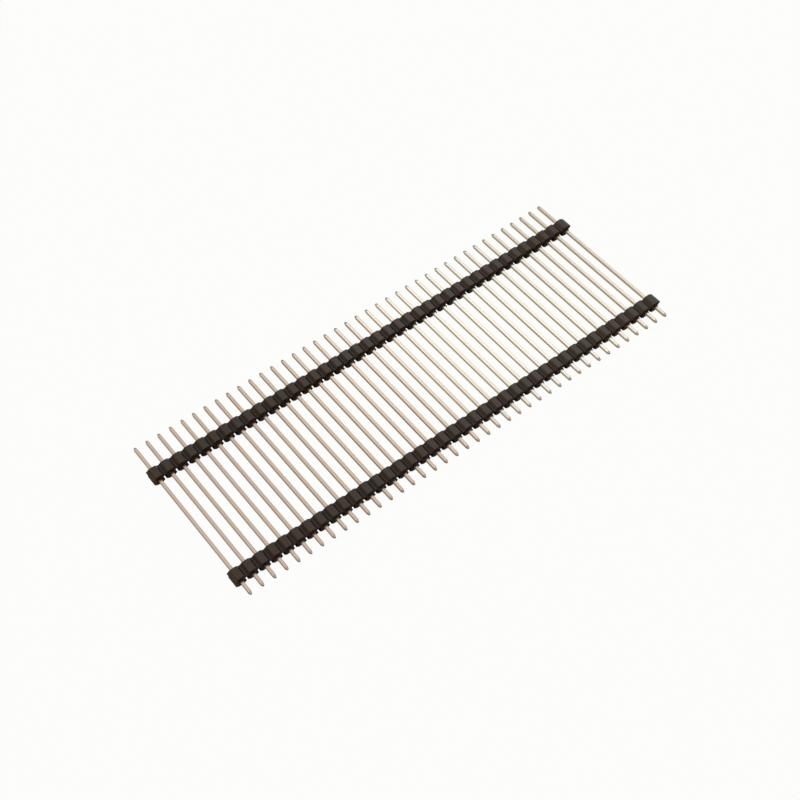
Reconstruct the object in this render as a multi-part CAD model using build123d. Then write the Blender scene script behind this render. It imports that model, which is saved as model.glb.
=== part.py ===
from build123d import *
import os

# Single-row breakaway pin header with two insulators, lying on its side as it rests on a bench.
# X runs along the row, Y along the pins with the longer posts towards +Y, Z is up.
# Lengths are in millimetres.

# Row
PIN_COUNT = 40
PITCH = 2.54

# Contact pin: drawn square wire, its corners broken by the die, both ends coined to a blunt point
PIN_SIDE = 0.64
PIN_LENGTH = 38.0
PIN_CORNER = 0.07
TIP_LENGTH = 0.5
TIP_SIDE = 0.32

# Insulator: a moulded chain of octagonal segments, each drawn in to a waist at the height of the pins.
# A thin web above the waist joins each segment to the next, and a slit parts their lower corners.
INSULATOR_DEPTH = 2.5
INSULATOR_HEIGHT = 2.4
SEGMENT_FLAT = 1.16
WAIST_WIDTH = 1.46
NOTCH_DEPTH = 0.43
WEB_WIDTH = 0.26
WEB_THICKNESS = 0.36
SLIT_WIDTH = 0.24

# Where the insulators grip the pins, measured from the pin ends
POST_LENGTH = 6.25
TAIL_LENGTH = 3.05
GRIP_CLEARANCE = 0.01

# Derived places
ROW_LENGTH = PIN_COUNT * PITCH
PIN_AXIS_HEIGHT = INSULATOR_HEIGHT / 2
POST_END = PIN_LENGTH / 2
TAIL_END = -PIN_LENGTH / 2
POST_INSULATOR_FRONT = POST_END - POST_LENGTH - INSULATOR_DEPTH
TAIL_INSULATOR_FRONT = TAIL_END + TAIL_LENGTH


def pin_x(index):
    """Place of a pin along the row, counted from the -X end."""
    return (index - (PIN_COUNT - 1) / 2) * PITCH


def across_the_pins(y):
    """Plane square to the pins at y, with its own x along the row and its own y upwards."""
    return Plane(origin=(0, y, PIN_AXIS_HEIGHT), x_dir=(1, 0, 0), z_dir=(0, -1, 0))


def square_wire(side, corner):
    """Section of the wire: a square with its four corners broken."""
    outline = Rectangle(side, side)
    return chamfer(outline.vertices(), corner)


def make_pin():
    """One pin on the row's middle line: square wire, its ends struck to a taper from all four sides."""
    quarter = [(PIN_SIDE / 2, POST_END - TIP_LENGTH), (TIP_SIDE / 2, POST_END)]
    half = quarter + [(-x, y) for x, y in reversed(quarter)]
    struck_form = make_face(Polyline(*half, *[(-x, -y) for x, y in half], close=True))
    seen_from_above = Plane(origin=(0, 0, PIN_AXIS_HEIGHT))
    seen_from_the_side = Plane(origin=(0, 0, PIN_AXIS_HEIGHT), x_dir=(0, 0, 1), z_dir=(1, 0, 0))
    pin = extrude(across_the_pins(POST_END) * square_wire(PIN_SIDE, PIN_CORNER), PIN_LENGTH)
    for view in (seen_from_above, seen_from_the_side):
        pin &= extrude(view * struck_form, PIN_SIDE, both=True)
    return pin


def segment_chain():
    """Outline of the moulding seen along the pins: waisted octagons joined by their upper webs."""
    half_flat = SEGMENT_FLAT / 2
    half_waist = WAIST_WIDTH / 2
    half_height = INSULATOR_HEIGHT / 2
    shoulder = (PITCH - WEB_WIDTH) / 2
    lower_corner = (PITCH - SLIT_WIDTH) / 2
    web_top = half_height - NOTCH_DEPTH
    web_bottom = web_top - WEB_THICKNESS
    crown = [(-shoulder, web_top), (-half_flat, half_height), (half_flat, half_height), (shoulder, web_top)]
    flank_below_pin = [(lower_corner, -web_top), (half_flat, -half_height)]
    right_flank = [(shoulder, web_bottom), (half_waist, 0)] + flank_below_pin
    left_flank = [(-x, z) for x, z in reversed(right_flank)]
    upper = [(-ROW_LENGTH / 2, web_bottom), (-ROW_LENGTH / 2, web_top)]
    lower = [(ROW_LENGTH / 2, web_top), (ROW_LENGTH / 2, web_bottom)]
    for index in range(PIN_COUNT):
        upper += [(pin_x(index) + x, z) for x, z in crown]
        lower += [(x - pin_x(index), z) for x, z in right_flank + left_flank]
    return make_face(Polyline(*upper, *lower, close=True))


def make_insulator(front):
    """One insulator strip, its front face at y = front, pierced by a square hole for each pin."""
    hole_side = PIN_SIDE + 2 * GRIP_CLEARANCE
    holes = [Pos(pin_x(index), 0) * Rectangle(hole_side, hole_side) for index in range(PIN_COUNT)]
    section = segment_chain() - holes
    return extrude(across_the_pins(front + INSULATOR_DEPTH) * section, INSULATOR_DEPTH)


os.makedirs("parts", exist_ok=True)

pin = make_pin()
for index in range(PIN_COUNT):
    export_step(Pos(pin_x(index), 0, 0) * pin, f"parts/pin_{index + 1:02d}.step")

export_step(make_insulator(POST_INSULATOR_FRONT), "parts/post_insulator.step")
export_step(make_insulator(TAIL_INSULATOR_FRONT), "parts/tail_insulator.step")
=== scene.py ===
# %% [markdown]
# # A pin header strip
# A header like this is the plainest connector there is: forty square pins pressed through two black
# plastic strips. The CAD model already holds every piece at its true size and place. This lesson loads it
# as a fixed frame, then grows the finished pins and mouldings in the same places, with the small radii and
# the surface finishes that a wire mill, a plating line and a moulding press leave behind.

# %% Load the packed model
import math

import bmesh
import bpy
from mathutils import Matrix, Vector


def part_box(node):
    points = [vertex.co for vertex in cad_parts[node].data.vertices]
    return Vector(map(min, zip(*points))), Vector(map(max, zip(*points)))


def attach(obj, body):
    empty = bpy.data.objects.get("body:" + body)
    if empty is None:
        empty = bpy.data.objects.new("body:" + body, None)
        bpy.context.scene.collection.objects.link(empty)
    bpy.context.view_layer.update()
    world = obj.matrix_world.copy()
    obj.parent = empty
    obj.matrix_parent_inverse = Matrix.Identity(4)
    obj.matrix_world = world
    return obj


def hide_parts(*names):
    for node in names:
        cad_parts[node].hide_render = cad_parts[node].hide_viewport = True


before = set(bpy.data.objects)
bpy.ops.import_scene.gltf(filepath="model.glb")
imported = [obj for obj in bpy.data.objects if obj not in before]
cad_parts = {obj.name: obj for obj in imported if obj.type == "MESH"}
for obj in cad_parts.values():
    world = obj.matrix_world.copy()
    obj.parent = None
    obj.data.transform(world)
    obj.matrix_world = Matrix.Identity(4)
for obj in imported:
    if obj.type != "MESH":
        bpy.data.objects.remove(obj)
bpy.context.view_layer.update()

# %% [markdown]
# Most sizes can be measured from the frame, so they can never drift away from the CAD model. The pitch is
# the step from one pin's box to the next, and the height of the pins is the middle of any pin's box. The two
# strips have the same section, so one of them is measured for both.

# %% Measure the row
MM = 0.001
pin_names = sorted(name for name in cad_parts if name.startswith("pin_"))
first_low, first_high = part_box(pin_names[0])
second_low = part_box(pin_names[1])[0]
PIN_COUNT = len(pin_names)
PITCH = second_low.x - first_low.x
WIRE_SIDE = first_high.x - first_low.x
PIN_LENGTH = first_high.y - first_low.y
AXIS_HEIGHT = (first_low.z + first_high.z) / 2
print(PIN_COUNT, "pins at a pitch of", round(PITCH / MM, 3), "mm,", round(PIN_LENGTH / MM, 2), "mm long")
strip_low, strip_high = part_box("post_insulator")
STRIP_LENGTH = PIN_COUNT * PITCH
STRIP_DEPTH = strip_high.y - strip_low.y
STRIP_HEIGHT = strip_high.z - strip_low.z
print("strips", round(STRIP_DEPTH / MM, 2), "mm deep and", round(STRIP_HEIGHT / MM, 2), "mm high")

# %% [markdown]
# Both node editors, for shapes and for materials, are used through one small class. It wraps a socket, and
# arithmetic on it adds the Math nodes, so a formula in the script reads as a formula. Any other node comes
# from its `node` method: the settings go first, because they decide which sockets the node shows.

# %% A socket that can be added and multiplied
class Signal:
    """One output socket in a node tree."""

    def __init__(self, socket):
        self.socket = socket
        self.tree = socket.id_data

    @staticmethod
    def pick(sockets, key):
        """A socket by its number, or the one in use that has the name."""
        if isinstance(key, int):
            return sockets[key]
        return next(socket for socket in sockets if socket.enabled and socket.name == key)

    @staticmethod
    def node(tree, kind, settings=None, inputs=None, output=0):
        """Adds a node: first its settings, then the values or links of its sockets.

        The setting "choices" is the number of items in an Index Switch.
        """
        made = tree.nodes.new(kind)
        for name, value in (settings or {}).items():
            if name == "choices":
                while len(made.index_switch_items) < value:
                    made.index_switch_items.new()
            else:
                setattr(made, name, value)
        for key, value in (inputs or {}).items():
            socket = Signal.pick(made.inputs, key)
            if isinstance(value, Signal):
                tree.links.new(value.socket, socket)
            else:
                socket.default_value = value
        return Signal(Signal.pick(made.outputs, output))

    def maths(self, operation, *values):
        return Signal.node(self.tree, "ShaderNodeMath", {"operation": operation}, dict(enumerate(values)))

    def __add__(self, other):
        return self.maths("ADD", self, other)

    __radd__ = __add__

    def __sub__(self, other):
        return self.maths("SUBTRACT", self, other)

    def __rsub__(self, other):
        return self.maths("SUBTRACT", other, self)

    def __mul__(self, other):
        return self.maths("MULTIPLY", self, other)

    __rmul__ = __mul__

    def __truediv__(self, other):
        return self.maths("DIVIDE", self, other)

    def __abs__(self):
        return self.maths("ABSOLUTE", self)

    def least(self, other):
        return self.maths("MINIMUM", self, other)

    def over(self, limit):
        return self.maths("GREATER_THAN", self, limit)

    def between(self, low, high):
        """0 up to low, 1 from high on, and a soft step from one to the other."""
        return Signal.node(self.tree, "ShaderNodeMapRange", {"interpolation_type": "SMOOTHSTEP"},
                           {"Value": self, "From Min": low, "From Max": high})


print("Signal can do:", [name for name in vars(Signal) if not name.startswith("__")])

# %% [markdown]
# A finish starts as a material with one Principled shader. What is the same all over goes straight onto the
# shader's sockets, and only what changes over the surface comes through nodes. Three things are wanted again
# and again: noise at a chosen scale, a blend of two colours, and a mask that fades in along an axis. Fed with
# a place, the mask marks what lies far out. Fed with a normal, it marks the faces that look that way.

# %% Helpers for finishes
def new_finish(name, **constants):
    """An empty material with one Principled shader, its plain sockets set to constants."""
    finish = bpy.data.materials.new(name)
    finish.use_nodes = True
    shader = finish.node_tree.nodes["Principled BSDF"]
    for label, value in constants.items():
        shader.inputs[label.replace("_", " ").title().replace("Ior", "IOR")].default_value = value
    return finish, finish.node_tree, shader


def feed(signal, shader, label):
    signal.tree.links.new(signal.socket, shader.inputs[label])


def blend_colours(share, first, second):
    return Signal.node(share.tree, "ShaderNodeMix", {"data_type": "RGBA"},
                       {"Factor": share, "A": first, "B": second}, "Result")


def noise(place, scale, detail=3.0):
    return Signal.node(place.tree, "ShaderNodeTexNoise", {},
                       {"Vector": place, "Scale": scale, "Detail": detail}, "Fac")


def part_of(vector, axis):
    return Signal.node(vector.tree, "ShaderNodeSeparateXYZ", {}, {"Vector": vector}, axis)


def far_along(vector, axis, start, full):
    """0 where a vector stays short of start along an axis, either way, and 1 where it reaches full."""
    return abs(part_of(vector, axis)).between(start, full)


def add_relief(height, shader, strength, distance):
    relief = Signal.node(height.tree, "ShaderNodeBump", {},
                         {"Strength": strength, "Distance": distance, "Height": height})
    feed(relief, shader, "Normal")


print("finish helpers ready")

# %% [markdown]
# ## The plated wire
# The pins are drawn brass wire with a thin bright plating. Each pin has its own tone between pink and cream,
# which the shape's node tree will store as an attribute, and slow patches stir it a little. The rest of the
# finish depends on where it is on the pin: the coined points, the cut ends, and the two side faces, which get
# painted shade, a darker colour for the dark reflection in them, strongest in their upper part. On the pinker
# pins the painted shade runs on over the corner. Masks on the place and the normal find all of these on every
# pin at once, so nothing has to be painted by hand.

# %% Places on a pin
POINT_FADE = (PIN_LENGTH / 2 - 0.6 * MM, PIN_LENGTH / 2 - 0.35 * MM)
# The painted shade on the side faces fades out towards their bottom edge; only the pinker pins get it on the
# corners.
SIDE_SHADE_UPPER_FADE = (AXIS_HEIGHT - 0.32 * MM, AXIS_HEIGHT - 0.08 * MM)
SQUARE_FACING = (0.55, 0.9)
CORNER_FACING = (0.15, 0.35)
CORNER_SHADE_FADE = (0.3, 0.65)
PATCH_SCALE = 420.0
PATCH_SHARE = 0.15
plated_wire, tree, shader = new_finish("plated_wire", metallic=1.0)
place = Signal.node(tree, "ShaderNodeTexCoord", output="Object")
facing = Signal.node(tree, "ShaderNodeTexCoord", output="Normal")
pin_tone = Signal.node(tree, "ShaderNodeAttribute", {"attribute_name": "pin_tone"}, output="Fac")
cream_share = pin_tone * (1 - PATCH_SHARE) + noise(place, PATCH_SCALE) * PATCH_SHARE
point = far_along(place, "Y", *POINT_FADE)
cut = far_along(facing, "Y", *SQUARE_FACING)
# Painted shade: the side faces, and on the pinker pins their corners too, are masked for a darker colour that
# stands in for the dark reflection in them.
corner = far_along(facing, "X", *CORNER_FACING) * (1 - cream_share.between(*CORNER_SHADE_FADE))
side = (far_along(facing, "X", *SQUARE_FACING) + corner).least(1)
side = side * part_of(place, "Z").between(*SIDE_SHADE_UPPER_FADE)
print("masks for points, cut ends and sides use", len(tree.nodes), "nodes")

# %% [markdown]
# Drawing leaves faint lines along the wire, so the noise that makes them is stretched along Y, the way that a
# pin lies. The colours go on in layers: plating first, then the points, which lost some of their warmth when
# they were coined, then the painted shade of the sides, a darker colour for their dark reflection with the
# real drawn lines in it, and last the bare cut ends.

# %% Colour of the wire
PINK_TONE = (0.81, 0.72, 0.65, 1)
CREAM_TONE = (0.83, 0.875, 0.82, 1)
POINT_TONE = (0.52, 0.50, 0.46, 1)
# Painted shade: the dark side tones stand in for the shade reflected in the side faces, less dark on the
# cream pins.
SIDE_SHADE_PINK_TONE = (0.21, 0.120, 0.064, 1)
SIDE_SHADE_CREAM_TONE = (0.34, 0.275, 0.180, 1)
CUT_TONE = (0.085, 0.058, 0.040, 1)
SIDE_SHADE_CREAM_FADE = (0.0, 0.45)
POINT_SHARE = 0.5
SIDE_SHARE = 0.8
SIDE_LINE_SHARE = 0.3
CUT_SHARE = 0.9
LINE_SCALES = (9000, 260, 9000)
stretched = Signal.node(tree, "ShaderNodeMapping", {}, {"Vector": place, "Scale": LINE_SCALES})
drawn_lines = noise(stretched, 1.0)
tone = blend_colours(cream_share, PINK_TONE, CREAM_TONE)
tone = blend_colours(point * POINT_SHARE, tone, POINT_TONE)
side_shade_tone = blend_colours(cream_share.between(*SIDE_SHADE_CREAM_FADE), SIDE_SHADE_PINK_TONE, SIDE_SHADE_CREAM_TONE)
# The sides' painted shade goes on here, with the real drawn lines in it.
tone = blend_colours(side * (SIDE_SHARE + drawn_lines * SIDE_LINE_SHARE), tone, side_shade_tone)
tone = blend_colours(cut * CUT_SHARE, tone, CUT_TONE)
feed(tone, shader, "Base Color")
print("the wire runs from", PINK_TONE[:3], "to", CREAM_TONE[:3])

# %% [markdown]
# A bright plating mirrors the room almost cleanly. The drawn lines blur it a little, and the sides, the cut
# ends and the coined points are rougher. The lines are also a very shallow relief, a hundredth of a
# millimetre deep, which is too fine to be worth any geometry.

# %% Gloss of the wire
PLATING_ROUGHNESS = 0.17
LINE_ROUGHNESS = 0.12
DULL_ROUGHNESS = 0.2
POINT_ROUGHNESS = 0.22
LINE_STRENGTH = 0.25
LINE_DEPTH = 0.01 * MM
roughness = PLATING_ROUGHNESS + drawn_lines * LINE_ROUGHNESS
roughness = roughness + (side + cut) * DULL_ROUGHNESS + point * POINT_ROUGHNESS
feed(roughness, shader, "Roughness")
add_relief(drawn_lines, shader, LINE_STRENGTH, LINE_DEPTH)
print("plated_wire has", len(tree.nodes), "nodes")

# %% [markdown]
# ## The black moulding
# The insulators are glass-filled nylon. Their long sides lay against polished steel and have a satin skin,
# while the faces that the pins pass through came off the eroded end of the tool and are dull. The walls under
# the webs were shaped by thin blades of the tool and have no skin either. The two ends of a strip were
# snapped off a longer one, and the plastic is bruised around the break. As on the wire, masks find these
# places, measured from the floor of the notches and from the ends of the strip.

# %% Places on a strip
NOTCH_DEPTH = 0.43 * MM
NOTCH_FLOOR = strip_high.z - NOTCH_DEPTH
SKIN_FADE = (NOTCH_FLOOR - 0.10 * MM, NOTCH_FLOOR - 0.03 * MM)
CROWN_FADE = (NOTCH_FLOOR, NOTCH_FLOOR + 0.25 * MM)
SNAPPED_FADE = (STRIP_LENGTH / 2 - 0.85 * MM, STRIP_LENGTH / 2 - 0.25 * MM)
ERODED_FACING = (0.45, 0.85)
black_moulding, tree, shader = new_finish(
    "black_moulding", specular_ior_level=0.04, coat_roughness=0.27, coat_ior=1.67)
place = Signal.node(tree, "ShaderNodeTexCoord", output="Object")
facing = Signal.node(tree, "ShaderNodeTexCoord", output="Normal")
height = part_of(place, "Z")
crown = height.between(*CROWN_FADE)
snapped = far_along(place, "X", *SNAPPED_FADE)
eroded = far_along(facing, "Y", *ERODED_FACING)
skin = height.between(*SKIN_FADE) * (1 - eroded) * (1 - snapped)
print("the skin ends", round(NOTCH_FLOOR / MM, 2), "mm above the table, at the floor of the notches")

# %% [markdown]
# The plastic is a warm black that is never quite even: a quick noise for the grain, a slow one for clouds,
# and small pale flecks where the glass comes near the surface. The bruised ends are paler and olive, and the
# grain breaks their edge up.

# %% Colour of the moulding
DEEP_BLACK = (0.014, 0.0063, 0.0036, 1)
WARM_BLACK = (0.030, 0.0148, 0.0084, 1)
FLECK_GREY = (0.062, 0.048, 0.032, 1)
SNAPPED_GREY = (0.105, 0.088, 0.060, 1)
GRAIN_SCALE = 9000.0
CLOUD_SCALE = 700.0
FLECK_SCALE = 14000.0
FLECK_FADE = (0.66, 0.74)
CLOUD_SHARE = 0.6
FLECK_SHARE = 0.5
SNAPPED_SHARE = 0.5
grain = noise(place, GRAIN_SCALE)
clouds = noise(place, CLOUD_SCALE)
flecks = noise(place, FLECK_SCALE, detail=1.0).between(*FLECK_FADE)
tone = blend_colours(clouds * CLOUD_SHARE + grain * (1 - CLOUD_SHARE), DEEP_BLACK, WARM_BLACK)
tone = blend_colours(flecks * FLECK_SHARE, tone, FLECK_GREY)
tone = blend_colours(snapped * (SNAPPED_SHARE + grain * (1 - SNAPPED_SHARE)), tone, SNAPPED_GREY)
feed(tone, shader, "Base Color")
print("the moulding runs from", DEEP_BLACK[:3], "to", WARM_BLACK[:3])

# %% [markdown]
# The skin is a coat on the shader, laid over the dull black only where the mask allows it, and a little
# fuller towards the crowns, the raised flats on top of the segments. Without the coat the plastic keeps
# hardly any gloss, as an eroded tool leaves it.

# %% Skin of the moulding
DULL_PLASTIC_ROUGHNESS = 0.52
GRAIN_ROUGHNESS = 0.16
SNAPPED_ROUGHNESS = 0.2
SKIN_COAT = 0.6
CROWN_COAT = 0.3
GRAIN_COAT = 0.1
GRAIN_STRENGTH = 0.3
GRAIN_DEPTH = 0.008 * MM
feed(DULL_PLASTIC_ROUGHNESS + grain * GRAIN_ROUGHNESS + snapped * SNAPPED_ROUGHNESS, shader, "Roughness")
feed(skin * (SKIN_COAT + crown * CROWN_COAT + grain * GRAIN_COAT), shader, "Coat Weight")
add_relief(grain, shader, GRAIN_STRENGTH, GRAIN_DEPTH)
print("black_moulding has", len(tree.nodes), "nodes")

# %% [markdown]
# ## Trees that grow shapes
# Things that repeat are made with Geometry Nodes, so that a count or a size stays a number that can be
# changed. A tree gets named inputs for its sizes, and ends with its material. Pins and insulators are both a
# shape that is set down once per pin, so that step is a helper too.

# %% Helpers for shape trees
SOCKETS = {"count": "NodeSocketInt", "size": "NodeSocketFloat",
           "object": "NodeSocketObject", "finish": "NodeSocketMaterial"}


def new_tree(name, inputs):
    """A Geometry Nodes tree with the named inputs, and those inputs as signals."""
    tree = bpy.data.node_groups.new(name, "GeometryNodeTree")
    for label, kind in inputs.items():
        tree.interface.new_socket(name=label, in_out="INPUT", socket_type=SOCKETS[kind])
    tree.interface.new_socket(name="Shape", in_out="OUTPUT", socket_type="NodeSocketGeometry")
    entry = tree.nodes.new("NodeGroupInput")
    return tree, {label: Signal(entry.outputs[label]) for label in inputs}


def set_in_a_row(tree, shape, count, pitch, y, z):
    """Instances of a shape, one per pin, centred on the row."""
    start = Signal.node(tree, "ShaderNodeCombineXYZ", {}, {"X": (1 - count) * pitch / 2, "Y": y, "Z": z})
    step = Signal.node(tree, "ShaderNodeCombineXYZ", {}, {"X": pitch})
    row = Signal.node(tree, "GeometryNodeMeshLine", {},
                      {"Count": count, "Start Location": start, "Offset": step})
    return Signal.node(tree, "GeometryNodeInstanceOnPoints", {}, {"Points": row, "Instance": shape})


def close_tree(shape, finish):
    """Ends a tree: its shape gets its material and goes to the tree's output. real geometry, with its
    material. Ends a tree the way the export needs: real geometry, with its material.
    """
    tree = shape.tree
    shape = Signal.node(tree, "GeometryNodeSetMaterial", {}, {"Geometry": shape, "Material": finish})
    tree.links.new(shape.socket, tree.nodes.new("NodeGroupOutput").inputs["Shape"])


print("a tree's inputs can be:", list(SOCKETS))

# %% [markdown]
# A modifier runs the tree. It takes each value by its socket's identifier, because two sockets may share a
# name. The result is turned into a plain mesh, so that nothing live is left on the finished piece, and a last
# pass turns every face outwards, because sweeping and welding can leave some of them inside out.

# %% From a tree to a piece
def new_object(name, data):
    """An object at the origin, in the scene."""
    made = bpy.data.objects.new(name, data)
    bpy.context.scene.collection.objects.link(made)
    return made


def grow(name, tree, values):
    """Runs a tree once and keeps its result as a plain mesh object."""
    piece = new_object(name, bpy.data.meshes.new(name))
    modifier = piece.modifiers.new("grow", "NODES")
    modifier.node_group = tree
    for item in tree.interface.items_tree:
        if item.in_out == "INPUT":
            modifier[item.identifier] = values[item.name]
    grown = piece.evaluated_get(bpy.context.evaluated_depsgraph_get())
    mesh = bpy.data.meshes.new_from_object(grown)
    # Instancing can leave an empty slot first, where faces made later would end up without a finish
    if mesh.materials[0] is None:
        mesh.materials.pop(index=0)
    piece.modifiers.clear()
    piece.data = mesh
    mesh.name = name
    return piece


def face_outwards(piece, close_ends=None):
    """Closes the ends of a piece, if it has open ones, and turns every face outwards."""
    work = bmesh.new()
    work.from_mesh(piece.data)
    if close_ends:
        close_ends(work)
    bmesh.ops.recalc_face_normals(work, faces=work.faces)
    open_edges = sum(1 for edge in work.edges if not edge.is_manifold)
    work.to_mesh(piece.data)
    work.free()
    return open_edges


print("piece helpers ready")

# %% [markdown]
# ## The contact pins
# A pin is square wire with rounded corners, and a punch coins both ends to a blunt point. That is a sweep:
# a rounded square carried along a line, drawn in near the ends. Only the last half millimetre needs stations,
# so they are listed once, as shares of the point's length and of the wire's side, and mirrored to both ends.

# %% Stations along a pin
POINT_LENGTH = 0.5 * MM
STATION_ALONG_SHARES = [0.0, 0.06, 0.93, 1.12]
STATION_SIDE_SHARES = [0.43, 0.53, 0.97, 1.0]
STATIONS = 2 * len(STATION_ALONG_SHARES)
tree, given = new_tree("contact_pins", {
    "Pin count": "count", "Pitch": "size", "Wire side": "size", "Corner radius": "size", "Pin length": "size",
    "Point length": "size", "Axis height": "size", "Seed": "count", "Plating": "finish"})
line = Signal.node(tree, "GeometryNodeCurvePrimitiveLine", {}, {"End": (0, 1, 0)})
line = Signal.node(tree, "GeometryNodeResampleCurve", {"mode": "COUNT"}, {"Curve": line, "Count": STATIONS})
index = Signal.node(tree, "GeometryNodeInputIndex")
from_end = index.least((STATIONS - 1) - index)


def at_station(shares):
    """The share for each point of the line, counted from the nearer end."""
    choices = {str(number): share for number, share in enumerate(shares)}
    return Signal.node(tree, "GeometryNodeIndexSwitch", {"data_type": "FLOAT", "choices": len(choices)},
                       {"Index": from_end, **choices})


which_end = index.over((STATIONS - 1) / 2) * 2 - 1
along = which_end * (given["Pin length"] / 2 - at_station(STATION_ALONG_SHARES) * given["Point length"])
spot = Signal.node(tree, "ShaderNodeCombineXYZ", {}, {"Y": along})
line = Signal.node(tree, "GeometryNodeSetPosition", {}, {"Geometry": line, "Position": spot})
print("a pin has", STATIONS, "stations")

# %% [markdown]
# The section is a square with its corners rounded, and Curve to Mesh carries it along the line, scaled by the
# share at each station. Curve to Mesh shades its result as if it were round. A real wire has flat faces, and
# each of them mirrors one patch of the room, so the pin is set to flat shading.

# %% One pin
CORNER_RADIUS = 0.07 * MM
CORNER_STEPS = 3
section = Signal.node(tree, "GeometryNodeCurvePrimitiveQuadrilateral", {},
                      {"Width": given["Wire side"], "Height": given["Wire side"]})
section = Signal.node(tree, "GeometryNodeFilletCurve", {"mode": "POLY"},
                      {"Curve": section, "Count": CORNER_STEPS, "Radius": given["Corner radius"]})
pin = Signal.node(tree, "GeometryNodeCurveToMesh", {},
                  {"Curve": line, "Profile Curve": section, "Scale": at_station(STATION_SIDE_SHARES),
                   "Fill Caps": True})
pin = Signal.node(tree, "GeometryNodeSetShadeSmooth", {}, {"Geometry": pin, "Shade Smooth": False})
print("the tree for a pin has", len(tree.nodes), "nodes")

# %% [markdown]
# The row sets forty of them down. The tone is pinkest at the left end and palest right of the middle, where
# the tops also mirror the lamp, and a seeded chance keeps any two neighbours from matching exactly.

# %% A row of pins
CREAM_RISE = (0.42, 0.68)
CREAM_RISE_SHARE = 0.85
CREAM_FALL = (0.75, 1.0)
CREAM_FALL_SHARE = 0.45
CHANCE_SHARE = 0.15
SEED = 7
pins = set_in_a_row(tree, pin, given["Pin count"], given["Pitch"], 0.0, given["Axis height"])
along_row = Signal.node(tree, "GeometryNodeInputIndex") / given["Pin count"]
chance = Signal.node(tree, "FunctionNodeRandomValue", {"data_type": "FLOAT"},
                     {"Seed": given["Seed"]}, "Value")
pin_tone = along_row.between(*CREAM_RISE) * CREAM_RISE_SHARE
pin_tone = pin_tone - along_row.between(*CREAM_FALL) * CREAM_FALL_SHARE + chance * CHANCE_SHARE
pins = Signal.node(tree, "GeometryNodeStoreNamedAttribute", {"data_type": "FLOAT", "domain": "INSTANCE"},
                   {"Geometry": pins, "Name": "pin_tone", "Value": pin_tone})
pins = Signal.node(tree, "GeometryNodeRealizeInstances", {}, {"Geometry": pins})
close_tree(pins, given["Plating"])
contact_pins = grow("contact_pins", tree, {
    "Pin count": PIN_COUNT, "Pitch": PITCH, "Wire side": WIRE_SIDE, "Corner radius": CORNER_RADIUS,
    "Pin length": PIN_LENGTH, "Point length": POINT_LENGTH, "Axis height": AXIS_HEIGHT,
    "Seed": SEED, "Plating": plated_wire})
left_open = face_outwards(contact_pins)
print("contact_pins:", len(contact_pins.data.polygons), "faces,", left_open, "open edges")

# %% [markdown]
# ## One link of the insulator
# Each pin sits in its own octagonal segment. The segment is drawn in to a waist at the height of the pin, a
# thin web above the waist holds it to its neighbour, and a slit parts the lower corners, so that a strip of
# any length can be snapped off. Both halves of a link are alike, so only the corners on its right are placed,
# each with a name and a place across and up from the pin's axis.

# %% Sizes of a link
SEGMENT_FLAT = 1.16 * MM
WAIST_WIDTH = 1.46 * MM
WEB_WIDTH = 0.26 * MM
WEB_THICKNESS = 0.36 * MM
SLIT_WIDTH = 0.24 * MM
GRIP_CLEARANCE = 0.01 * MM
half_hole = WIRE_SIDE / 2 + GRIP_CLEARANCE
web_top = STRIP_HEIGHT / 2 - NOTCH_DEPTH
web_bottom = web_top - WEB_THICKNESS
shoulder = (PITCH - WEB_WIDTH) / 2
right_corners = {
    "crown": (SEGMENT_FLAT / 2, STRIP_HEIGHT / 2),
    "shoulder": (shoulder, web_top),
    "web_top": (PITCH / 2, web_top),
    "web_bottom": (PITCH / 2, web_bottom),
    "armpit": (shoulder, web_bottom),
    "waist": (WAIST_WIDTH / 2, 0),
    "hip": ((PITCH - SLIT_WIDTH) / 2, -web_top),
    "foot": (SEGMENT_FLAT / 2, -STRIP_HEIGHT / 2),
    "hole_top": (half_hole, half_hole),
    "hole_bottom": (half_hole, -half_hole)}
print("half a link has", len(right_corners), "named corners")

# %% [markdown]
# A shape with this few faces is quickest to build by hand. The named corners make the front and back faces,
# and runs of corners make the walls between them. The link stays open where its web meets the next link, and
# every sharp edge is rounded, because a tool is never sharp.

# %% Build the link
END_FACES = [["crown", "shoulder", "armpit", "waist", "hole_top"],
             ["shoulder", "web_top", "web_bottom", "armpit"],
             ["waist", "hip", "foot", "hole_bottom", "hole_top"]]
BRIDGES = [("crown", "hole_top"), ("foot", "hole_bottom")]
UPPER_WALLS = ["crown", "shoulder", "web_top"]
LOWER_WALLS = ["web_bottom", "armpit", "waist", "hip", "foot"]
ROUNDED_ABOVE = math.radians(15)
EDGE_RADIUS = 0.05 * MM
EDGE_STEPS = 2


def round_edges(work, edges, radius, steps):
    """Rounds edges with a few flat steps, as far as their neighbours leave room."""
    bmesh.ops.bevel(work, geom=edges, offset=radius, offset_type="OFFSET", segments=steps, profile=0.5,
                    affect="EDGES", clamp_overlap=True)


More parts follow.
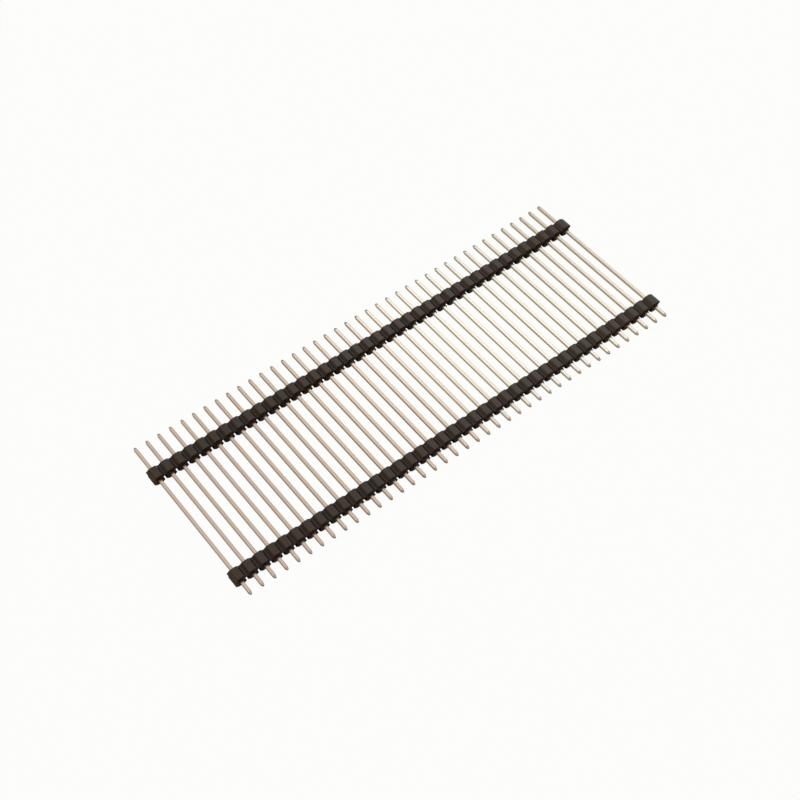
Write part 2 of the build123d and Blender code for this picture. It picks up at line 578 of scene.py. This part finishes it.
def build_link():
    """One segment with half a web on each side, open at the two web ends."""
    work = bmesh.new()
    front, back = {}, {}
    for name, (x, z) in right_corners.items():
        for half, sign in (("right", 1), ("left", -1)):
            front[half, name] = work.verts.new((sign * x, 0, z))
            back[half, name] = work.verts.new((sign * x, STRIP_DEPTH, z))
    for layer in (front, back):
        for half in ("right", "left"):
            for names in END_FACES:
                work.faces.new([layer[half, name] for name in names])
        for outer, inner in BRIDGES:
            work.faces.new([layer[corner] for corner in (
                ("left", outer), ("right", outer), ("right", inner), ("left", inner))])
    hole = [("left", "hole_top"), ("right", "hole_top"), ("right", "hole_bottom"), ("left", "hole_bottom")]
    runs = [[("left", "crown"), ("right", "crown")], [("left", "foot"), ("right", "foot")], hole + hole[:1]]
    for half in ("right", "left"):
        runs += [[(half, name) for name in names] for names in (UPPER_WALLS, LOWER_WALLS)]
    for run in runs:
        for a, b in zip(run, run[1:]):
            work.faces.new([front[a], front[b], back[b], back[a]])
    bmesh.ops.recalc_face_normals(work, faces=work.faces)
    sharp = [edge for edge in work.edges
             if len(edge.link_faces) == 2 and edge.calc_face_angle() > ROUNDED_ABOVE]
    round_edges(work, sharp, EDGE_RADIUS, EDGE_STEPS)
    mesh = bpy.data.meshes.new("insulator_link")
    work.to_mesh(mesh)
    work.free()
    return new_object("insulator_link", mesh)


insulator_link = build_link()
print("one link has", len(insulator_link.data.polygons), "faces")

# %% [markdown]
# ## The two insulators
# A strip is that link, set down once per pin and welded at the webs. Geometry Nodes do the setting down, so
# the count and the pitch stay inputs. The two ends, where a longer strip was snapped, are closed at the last.
# Each break is a little worn, so its rim is rounded more than the moulded edges.

# %% Chain the links
WELD = 0.002 * MM
BREAK_RADIUS = 0.07 * MM
BREAK_STEPS = 3


def close_snapped_ends(work):
    """Fills the two open web ends and rounds their rims."""
    rims = [edge for edge in work.edges if edge.is_boundary]
    bmesh.ops.holes_fill(work, edges=rims, sides=0)
    round_edges(work, rims, BREAK_RADIUS, BREAK_STEPS)


tree, given = new_tree("insulator_chain", {
    "Link": "object", "Segments": "count", "Pitch": "size", "Front": "size", "Axis height": "size",
    "Weld": "size", "Moulding": "finish"})
link = Signal.node(tree, "GeometryNodeObjectInfo", {}, {"Object": given["Link"]}, "Geometry")
chain = set_in_a_row(tree, link, given["Segments"], given["Pitch"], given["Front"], given["Axis height"])
chain = Signal.node(tree, "GeometryNodeRealizeInstances", {}, {"Geometry": chain})
chain = Signal.node(tree, "GeometryNodeMergeByDistance", {}, {"Geometry": chain, "Distance": given["Weld"]})
close_tree(chain, given["Moulding"])
insulators = {}
for node in ("post_insulator", "tail_insulator"):
    piece = grow(node + "_moulding", tree, {
        "Link": insulator_link, "Segments": PIN_COUNT, "Pitch": PITCH, "Front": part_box(node)[0].y,
        "Axis height": AXIS_HEIGHT, "Weld": WELD, "Moulding": black_moulding})
    left_open = face_outwards(piece, close_snapped_ends)
    insulators[node] = piece
    print(piece.name, len(piece.data.polygons), "faces,", left_open, "open edges")
bpy.data.objects.remove(insulator_link)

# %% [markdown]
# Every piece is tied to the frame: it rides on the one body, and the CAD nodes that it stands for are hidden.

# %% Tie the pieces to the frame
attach(contact_pins, "root")
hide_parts(*pin_names)
for node, piece in insulators.items():
    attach(piece, "root")
    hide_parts(node)
print("tied", 1 + len(insulators), "pieces to the frame")

# %% [markdown]
# ## The table and the light
# The strip lies on a plain white table. More light would wash out the pins before the table turned white, so
# the table is white by itself to the camera and to every reflection. A small part of its real shading is
# mixed in, so that the strip keeps a faint shadow.

# %% White table
TABLE_HALF = 20.0
TABLE_CORNERS = [(-1, -1), (1, -1), (1, 1), (-1, 1)]
TABLE_COLOUR = (0.88, 0.88, 0.87, 1)
GLOW_COLOUR = (1, 1, 0.995, 1)
WHITE_SHARE = 0.96
table_white = bpy.data.materials.new("table_white")
table_white.use_nodes = True
tree = table_white.node_tree
tree.nodes.clear()
matt = Signal.node(tree, "ShaderNodeBsdfDiffuse", {}, {"Color": TABLE_COLOUR})
glow = Signal.node(tree, "ShaderNodeEmission", {}, {"Color": GLOW_COLOUR, "Strength": 1.0})
camera_ray, glossy_ray, transmission_ray = [
    Signal.node(tree, "ShaderNodeLightPath", output=kind)
    for kind in ("Is Camera Ray", "Is Glossy Ray", "Is Transmission Ray")]
shown = (camera_ray + glossy_ray + transmission_ray).least(1)
surface = Signal.node(tree, "ShaderNodeMixShader", {}, {0: shown * WHITE_SHARE, 1: matt, 2: glow})
tree.links.new(surface.socket, tree.nodes.new("ShaderNodeOutputMaterial").inputs["Surface"])
table_mesh = bpy.data.meshes.new("table")
table_mesh.from_pydata([(x * TABLE_HALF, y * TABLE_HALF, 0) for x, y in TABLE_CORNERS], [], [(0, 1, 2, 3)])
table_mesh.materials.append(table_white)
table = new_object("table", table_mesh)
print("table is", 2 * TABLE_HALF, "m wide")

# %% [markdown]
# The room is warm, bright overhead and pale along the horizon, with a darker band between. Flat faces act as
# mirrors: the tops of the pins and insulators show the bright ceiling, and the sloping faces show the dark
# band. Two soft steps in the height of the world's light give that, with no walls to build.

# %% Soft room
ROOM_COLOUR = (1, 0.85, 0.73, 1)
HORIZON_COLOUR = (1, 0.98, 0.95, 1)
HORIZON_FADE = (0.12, 0.36)
CEILING_FADE = (0.42, 0.80)
BAND_LEVEL = 0.19
CEILING_LEVEL = 0.53
HORIZON_LEVEL = 0.6
scene = bpy.context.scene
room = bpy.data.worlds.new("room")
room.use_nodes = True
tree = room.node_tree
background = tree.nodes["Background"]
height = part_of(Signal.node(tree, "ShaderNodeTexCoord", output="Generated"), "Z")
horizon = 1 - height.between(*HORIZON_FADE)
brightness = BAND_LEVEL + CEILING_LEVEL * height.between(*CEILING_FADE) + HORIZON_LEVEL * horizon
feed(blend_colours(horizon, ROOM_COLOUR, HORIZON_COLOUR), background, "Color")
feed(brightness, background, "Strength")
scene.world = room
print("the ceiling is", round(BAND_LEVEL + CEILING_LEVEL, 2), "bright, the band below it", BAND_LEVEL)

# %% [markdown]
# One level strip lamp hangs beyond the far right corner. It is weak as a light, and its use is as something
# to mirror: the flat tops right of the middle show it, which helps to make them the brightest of the row.

# %% Strip lamp
LAMP_PLACE = Vector((0.245, 0.226, 0.387))
LAMP_LENGTH = 0.22
LAMP_WIDTH = 0.08
LAMP_POWER = 0.05
LAMP_COLOUR = (1.0, 0.97, 0.92)
lamp = bpy.data.lights.new("high_lamp", "AREA")
lamp.shape = "RECTANGLE"
lamp.size = LAMP_LENGTH
lamp.size_y = LAMP_WIDTH
lamp.energy = LAMP_POWER
lamp.color = LAMP_COLOUR
holder = new_object("high_lamp", lamp)
holder.location = LAMP_PLACE
holder.rotation_mode = "QUATERNION"
holder.rotation_quaternion = (-LAMP_PLACE).to_track_quat("-Z", "Y")
print("the lamp hangs", round(LAMP_PLACE.length, 2), "m from the strip")

# %% [markdown]
# ## The camera
# The camera was worked out from the photograph: forty known pin places at both ends fix where it stood, where
# it looked and how long its lens was.

# %% Camera
CAMERA_PLACE = Vector((-93.899, -116.777, 201.077)) * MM
CAMERA_AIM = Vector((-4.406, -2.559, 1.2)) * MM
CAMERA_ROLL = math.radians(-0.13)
SENSOR_WIDTH = 36.0
LENS_LENGTH = 58.96
NEAR_LIMIT = 0.01
lens = bpy.data.cameras.new("camera")
lens.sensor_width = SENSOR_WIDTH
lens.lens = LENS_LENGTH
lens.clip_start = NEAR_LIMIT
camera = new_object("camera", lens)
camera.location = CAMERA_PLACE
look = (CAMERA_AIM - CAMERA_PLACE).to_track_quat("-Z", "Y").to_matrix()
camera.rotation_mode = "QUATERNION"
camera.rotation_quaternion = (look @ Matrix.Rotation(CAMERA_ROLL, 3, "Z")).to_quaternion()
scene.camera = camera
print("camera stands", round((CAMERA_PLACE - CAMERA_AIM).length / MM), "mm from the strip")

# %% [markdown]
# The picture is shown plainly, with no film look.

# %% Finish
scene.view_settings.view_transform = "Standard"
